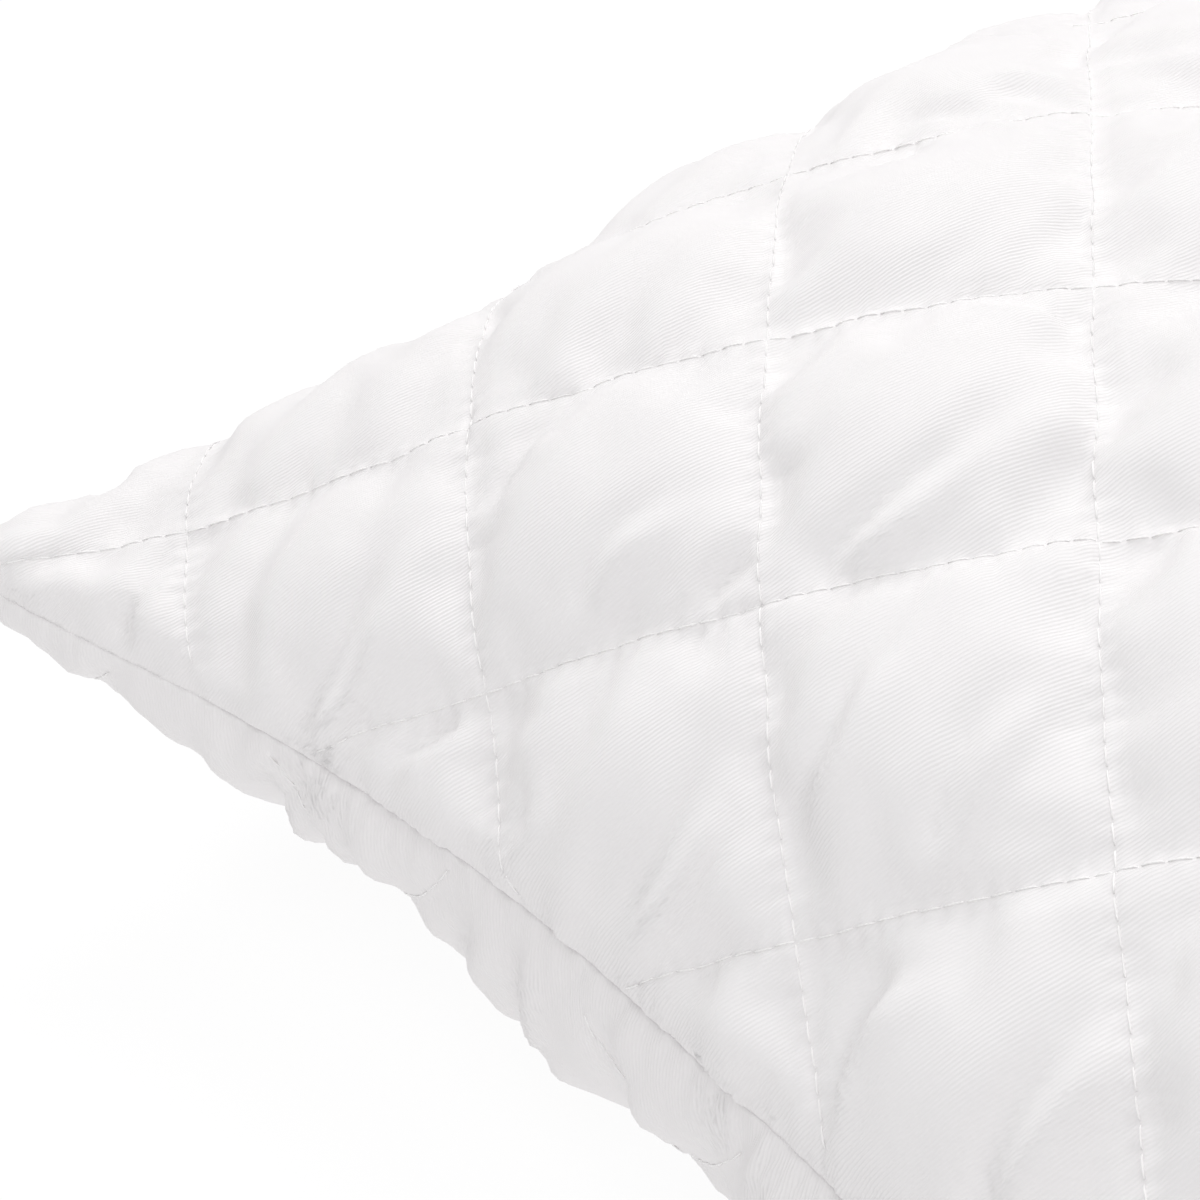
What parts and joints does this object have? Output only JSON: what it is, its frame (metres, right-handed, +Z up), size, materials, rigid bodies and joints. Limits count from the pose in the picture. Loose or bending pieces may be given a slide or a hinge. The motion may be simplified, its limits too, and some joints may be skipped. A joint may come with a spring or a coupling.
{
  "type": "quilted bed pillow",
  "caption": "Rectangular bed pillow with diamond-quilted top and bottom panels, a plain knife-edge seam and a soft fibre fill.",
  "frame": {"origin": "on the resting surface, under the middle of the pillow", "axes": "+Y along the long side, +X along the short side, +Z up through the pillow's thickness"},
  "size_m": [0.4994, 0.6992, 0.1985],
  "materials": {
    "face_cotton": "white cotton twill, matte with a faint sheen",
    "wadding": "white polyester wadding, matte",
    "backing": "thin white non-woven lining, matte",
    "quilting_thread": "white spun polyester thread",
    "seam_thread": "white spun polyester thread",
    "fibre": "loose white hollow fibre",
    "label_satin": "plain white woven satin ribbon"
  },
  "bodies": {
    "root": {"top_face_cloth": "face_cotton", "top_wadding": "wadding", "top_backing": "backing", "top_quilting_thread": "quilting_thread", "bottom_face_cloth": "face_cotton", "bottom_wadding": "wadding", "bottom_backing": "backing", "bottom_quilting_thread": "quilting_thread", "fibre_fill": "fibre", "edge_seam_thread": "seam_thread", "overlock_thread": "seam_thread", "closing_thread": "seam_thread", "care_label": "label_satin"}
  },
  "joints": []
}
